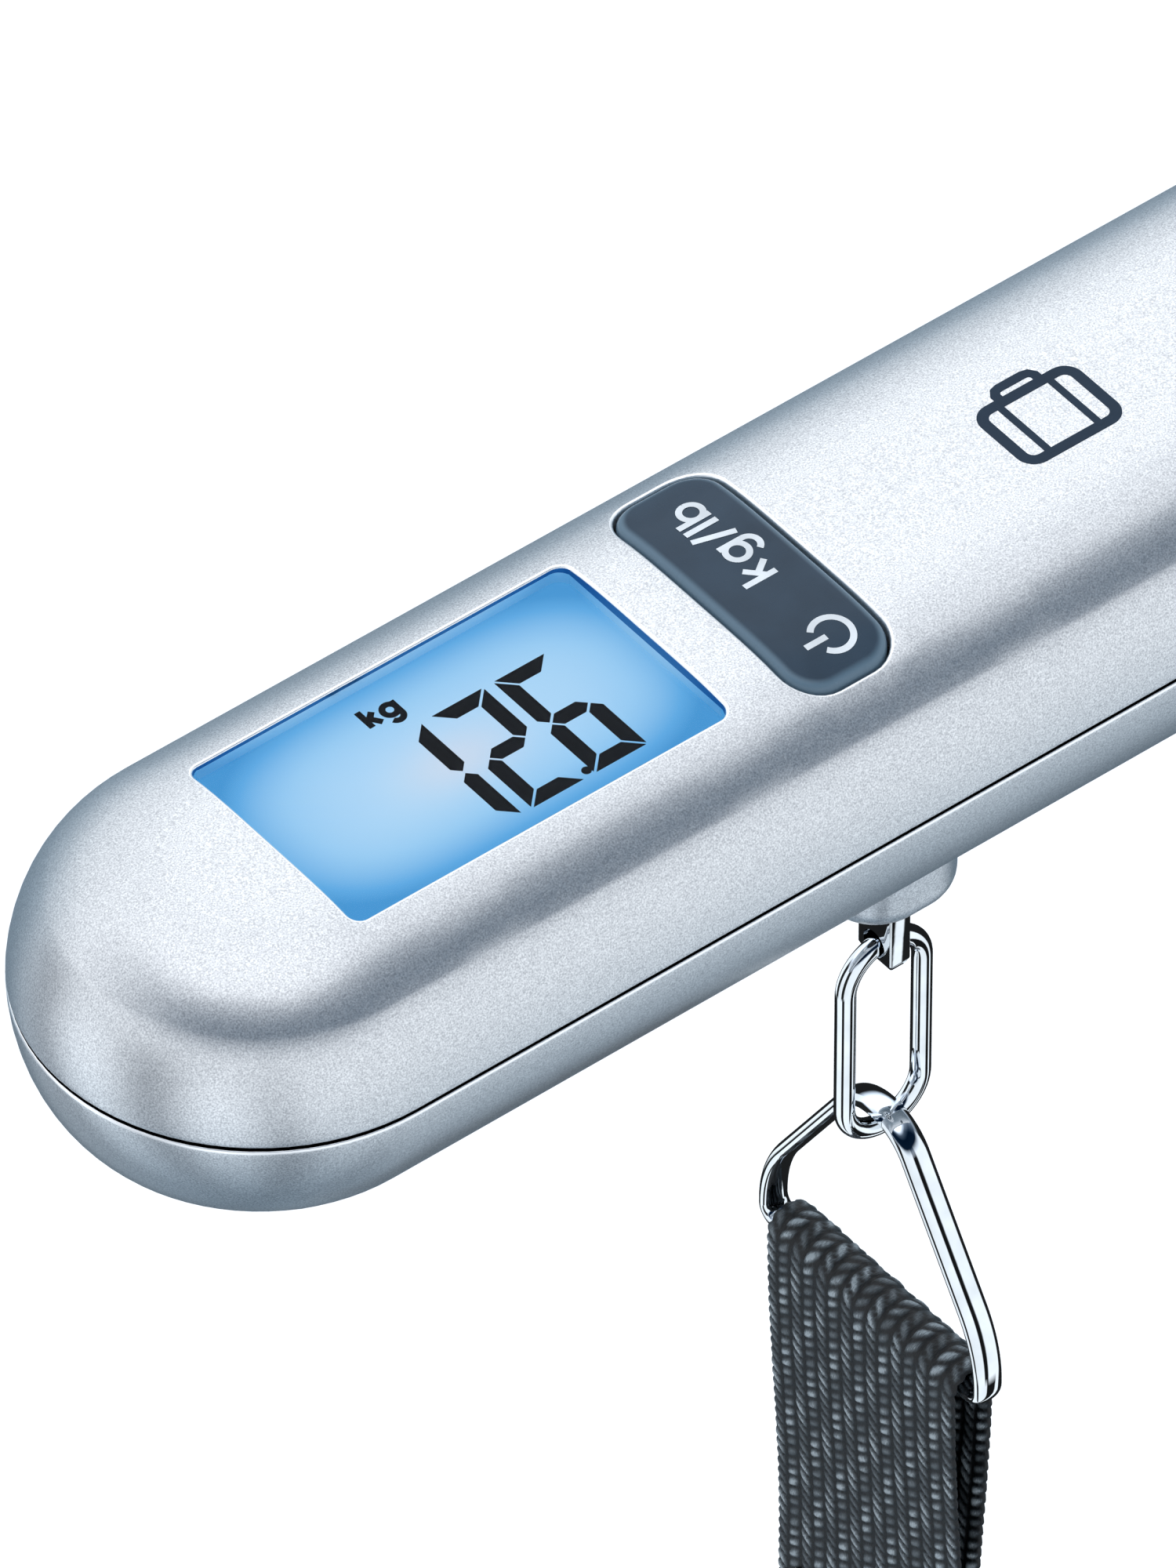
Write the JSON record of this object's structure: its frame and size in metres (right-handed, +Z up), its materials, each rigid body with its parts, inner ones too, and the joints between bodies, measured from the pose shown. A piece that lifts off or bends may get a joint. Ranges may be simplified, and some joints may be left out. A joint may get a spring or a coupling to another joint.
{
  "type": "digital luggage scale",
  "caption": "Hand-held digital luggage scale: silver bar casing with a display and rocker key, pull post, link, ring, webbing strap and swivel snap hook.",
  "frame": {"origin": "middle of the casing, on the seam between its shells and on the pull post's axis", "axes": "+Z up, away from the hook; +X along the casing away from the display; +Y across the casing"},
  "size_m": [0.15, 0.036, 0.3252],
  "materials": {
    "silver_paint": "silver-blue metallic lacquer over moulded ABS, satin",
    "zinc_steel": "zinc plated",
    "black_plastic": "moulded, fine texture",
    "clear_lens": "clear acrylic, polished",
    "lcd_blue": "liquid crystal glass with a blue back light",
    "light_guide": "clear moulded light guide",
    "white_plastic": "moulded",
    "led_white": "moulded",
    "silicone_rubber": "satin silicone",
    "slate_key": "dark slate blue, polished, pale printed legends",
    "circuit_board": "solder resist",
    "epoxy_black": "cast epoxy",
    "component_black": "moulded",
    "cell_steel": "nickel plated",
    "gold_contact": "gold flashed spring bronze",
    "lead_red": "PVC insulation",
    "lead_white": "PVC insulation",
    "cell_aluminium": "milled",
    "gauge_foil": "foil on polyimide",
    "chassis_steel": "galvanised sheet",
    "chrome_post": "polished",
    "chrome_wire": "polished",
    "chrome_hook": "polished, cast",
    "pin_steel": "turned",
    "spring_steel": "blued strip",
    "grey_webbing": "woven polypropylene, dark grey"
  },
  "bodies": {
    "casing": {"upper_shell": "silver_paint", "lower_shell": "silver_paint", "case_screws": "zinc_steel", "boss_bushing": "black_plastic", "display_lens": "clear_lens", "lcd_glass": "lcd_blue", "backlight_guide": "light_guide", "reflector_sheet": "white_plastic", "backlight_leds": "led_white", "lcd_holder": "white_plastic", "zebra_strip": "silicone_rubber", "keypad_mat": "silicone_rubber", "main_pcb": "circuit_board", "pcb_screws": "zinc_steel", "controller_blob": "epoxy_black", "pcb_components": "component_black", "battery_holder": "black_plastic", "coin_cell": "cell_steel", "contact_negative": "gold_contact", "contact_positive": "gold_contact", "battery_leads": "lead_red", "load_cell": "cell_aluminium", "strain_gauges": "gauge_foil", "gauge_leads": "lead_white", "chassis_plate": "chassis_steel", "load_cell_screws": "zinc_steel", "chassis_screws": "zinc_steel", "pull_post": "chrome_post", "post_washer": "zinc_steel", "post_nut": "zinc_steel"},
    "key": {"rocker_key": "slate_key"},
    "door": {"battery_door": "silver_paint"},
    "link": {"oval_link": "chrome_wire"},
    "ring": {"triangle_ring": "chrome_wire"},
    "strap": {"webbing_strap": "grey_webbing"},
    "eye": {"swivel_eye": "chrome_hook"},
    "hook": {"hook_body": "chrome_hook", "gate_pin": "pin_steel", "gate_spring": "spring_steel"},
    "gate": {"hook_gate": "chrome_hook"}
  },
  "joints": [
    {"name": "key_rock", "type": "hinge", "parent": "casing", "child": "key", "pos_m": [-0.01265, 0, 0.0084], "axis": [1, 0, 0], "range_deg": [-2.5, 2.5], "stiffness_Nm_per_rad": 0.12, "deforming": ["keypad_mat"]},
    {"name": "door_tilt", "type": "hinge", "parent": "casing", "child": "door", "pos_m": [-0.031, 0, -0.013], "axis": [0, -1, 0], "range_deg": [0, 60]},
    {"name": "link_swing", "type": "hinge", "parent": "casing", "child": "link", "pos_m": [0, 0, -0.03294], "axis": [1, 0, 0], "range_deg": [-60, 60]},
    {"name": "ring_swing", "type": "hinge", "parent": "link", "child": "ring", "pos_m": [0, 0, -0.04829], "axis": [0, 1, 0], "range_deg": [-45, 45]},
    {"name": "strap_swing", "type": "hinge", "parent": "ring", "child": "strap", "pos_m": [0, 0, -0.07102], "axis": [0, 1, 0], "range_deg": [-45, 45]},
    {"name": "eye_swing", "type": "hinge", "parent": "strap", "child": "eye", "pos_m": [0, 0, -0.25102], "axis": [0, 1, 0], "range_deg": [-60, 60]},
    {"name": "hook_swivel", "type": "hinge", "parent": "eye", "child": "hook", "pos_m": [0, 0, -0.26902], "axis": [0, 0, 1], "continuous": true},
    {"name": "gate_open", "type": "hinge", "parent": "hook", "child": "gate", "pos_m": [0, 0.0086, -0.27802], "axis": [-1, 0, 0], "range_deg": [0, 35], "stiffness_Nm_per_rad": 0.02, "springref_deg": -20.05, "deforming": ["gate_spring"]}
  ]
}
